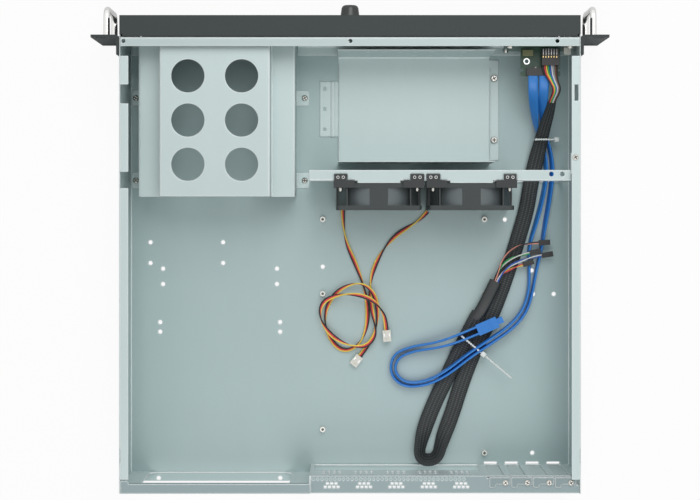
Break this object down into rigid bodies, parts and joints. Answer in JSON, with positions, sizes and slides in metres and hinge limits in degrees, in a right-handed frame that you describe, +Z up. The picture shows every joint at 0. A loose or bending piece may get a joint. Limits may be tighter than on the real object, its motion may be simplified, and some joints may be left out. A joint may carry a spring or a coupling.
{
  "type": "empty rackmount server case",
  "caption": "Low steel rack case with its lid off: drive cages, two fans on a rail, a drop-down front door with a lock, ears with handles, and its front panel cables.",
  "frame": {"origin": "middle of the tray's underside, under the case's centre", "axes": "front faces -Y, +X is the right side seen from the front, +Z up"},
  "size_m": [0.4826, 0.4575, 0.0896],
  "materials": {
    "galvanised_sheet": "zinc-coated sheet steel, satin",
    "black_paint": "fine-textured black powder coat",
    "polished_rod": "bright chrome",
    "bright_screw": "bright zinc plate",
    "fan_plastic": "black moulded plastic",
    "clip_plastic": "black moulded plastic",
    "lock_black": "glossy black",
    "lock_metal": "plated steel",
    "dark_steel": "black painted steel",
    "board_green": "green laminate",
    "black_plastic": "black moulded plastic",
    "port_shell": "bright plated shell",
    "lens": "clear moulded lens",
    "lead_wire": "yellow, black and red insulated wires",
    "white_plastic": "natural nylon",
    "braided_sleeve": "black braided sleeve",
    "blue_cable": "blue insulated cable"
  },
  "bodies": {
    "chassis": {"base_tray": "galvanised_sheet", "front_wall": "galvanised_sheet", "rear_panel": "galvanised_sheet", "drive_cage": "galvanised_sheet", "disk_cage": "galvanised_sheet", "floor_bridge": "galvanised_sheet", "fan_rail": "galvanised_sheet", "slot_cover_1": "galvanised_sheet", "slot_cover_2": "galvanised_sheet", "slot_cover_3": "galvanised_sheet", "slot_cover_4": "galvanised_sheet", "ear_left": "black_paint", "ear_right": "black_paint", "handle_left": "polished_rod", "handle_right": "polished_rod", "cage_screws": "bright_screw", "disk_screws": "bright_screw", "slot_screws": "bright_screw", "rail_screw": "bright_screw", "clip_screws": "bright_screw", "wall_studs": "bright_screw", "board_standoffs": "bright_screw", "panel_posts": "bright_screw", "ear_screws": "bright_screw", "fan_frame_1": "fan_plastic", "fan_frame_2": "fan_plastic", "fan_clip_1": "clip_plastic", "fan_clip_2": "clip_plastic", "fan_clip_3": "clip_plastic", "fan_clip_4": "clip_plastic", "hinge_lugs": "dark_steel", "lock_catch": "dark_steel", "panel_board": "board_green", "daughter_board": "board_green", "board_components": "black_plastic", "header_socket": "black_plastic", "usb_header": "black_plastic", "header_plugs": "black_plastic", "usb_ports": "port_shell", "led_lenses": "lens", "fan_lead_1": "lead_wire", "fan_lead_2": "lead_wire", "tail_wires": "lead_wire", "fan_plug_1": "white_plastic", "fan_plug_2": "white_plastic", "cable_tie_1": "white_plastic", "cable_tie_2": "white_plastic", "harness": "braided_sleeve", "usb_cable_1": "blue_cable", "usb_cable_2": "blue_cable", "usb_plug": "blue_cable"},
    "door": {"front_door": "black_paint", "hinge_pins": "bright_screw", "lock_housing": "lock_black"},
    "lock": {"lock_core": "lock_metal", "lock_cam": "lock_metal"},
    "power_button": {"power_button": "black_plastic"},
    "reset_button": {"reset_button": "black_plastic"},
    "rotor_1": {"rotor_1": "fan_plastic"},
    "rotor_2": {"rotor_2": "fan_plastic"}
  },
  "joints": [
    {"name": "door_hinge", "type": "hinge", "parent": "chassis", "child": "door", "pos_m": [0, -0.2264, 0.0068], "axis": [1, 0, 0], "range_deg": [0, 75]},
    {"name": "lock_turn", "type": "hinge", "parent": "door", "child": "lock", "pos_m": [0, -0.2316, 0.056], "axis": [0, -1, 0], "range_deg": [0, 90]},
    {"name": "power_button_press", "type": "slide", "parent": "chassis", "child": "power_button", "axis": [0, 1, 0], "range_m": [0, 0.0012], "stiffness_N_per_m": 800, "springref_m": -0.0005},
    {"name": "reset_button_press", "type": "slide", "parent": "chassis", "child": "reset_button", "axis": [0, 1, 0], "range_m": [0, 0.0012], "stiffness_N_per_m": 800, "springref_m": -0.0005},
    {"name": "rotor_1_spin", "type": "hinge", "parent": "chassis", "child": "rotor_1", "pos_m": [-0.027, -0.0754, 0.0412], "axis": [0, 1, 0], "continuous": true},
    {"name": "rotor_2_spin", "type": "hinge", "parent": "chassis", "child": "rotor_2", "pos_m": [-0.1135, -0.0754, 0.0412], "axis": [0, 1, 0], "continuous": true}
  ]
}
